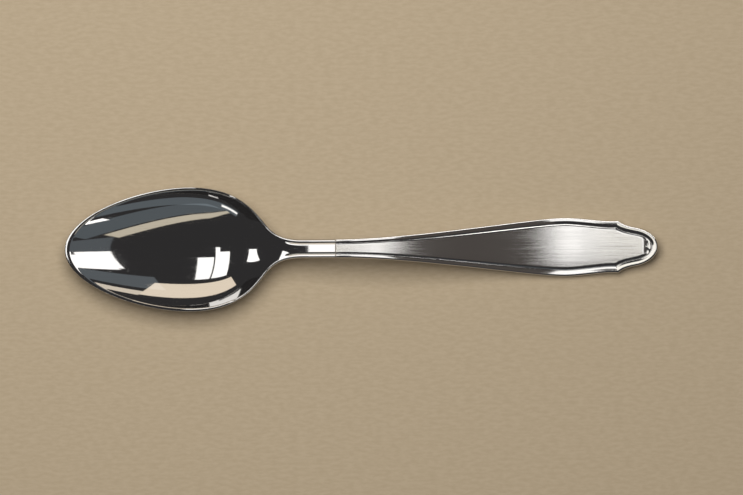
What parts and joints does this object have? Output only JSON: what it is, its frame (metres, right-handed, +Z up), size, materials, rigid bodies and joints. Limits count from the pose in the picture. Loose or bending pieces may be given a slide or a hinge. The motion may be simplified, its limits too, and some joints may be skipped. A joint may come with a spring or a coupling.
{
  "type": "teaspoon",
  "caption": "Stainless steel teaspoon with a mirror-polished egg-shaped bowl, a slim neck and a satin handle edged by a polished thread border, with shoulders and a rounded end.",
  "frame": {"origin": "on the table under the middle of the spoon's bounding box", "axes": "+X from the bowl's tip to the handle's end, +Y across the spoon, +Z up out of the bowl"},
  "size_m": [0.14, 0.0294, 0.0106],
  "materials": {
    "polished_steel": "mirror polished stainless steel with fine use scratches",
    "satin_steel": "satin panel brushed lengthwise, polished bead and edges",
    "braze_filler": "dull grey filler metal"
  },
  "bodies": {
    "root": {"bowl": "polished_steel", "handle": "satin_steel", "braze_seam": "braze_filler"}
  },
  "joints": []
}
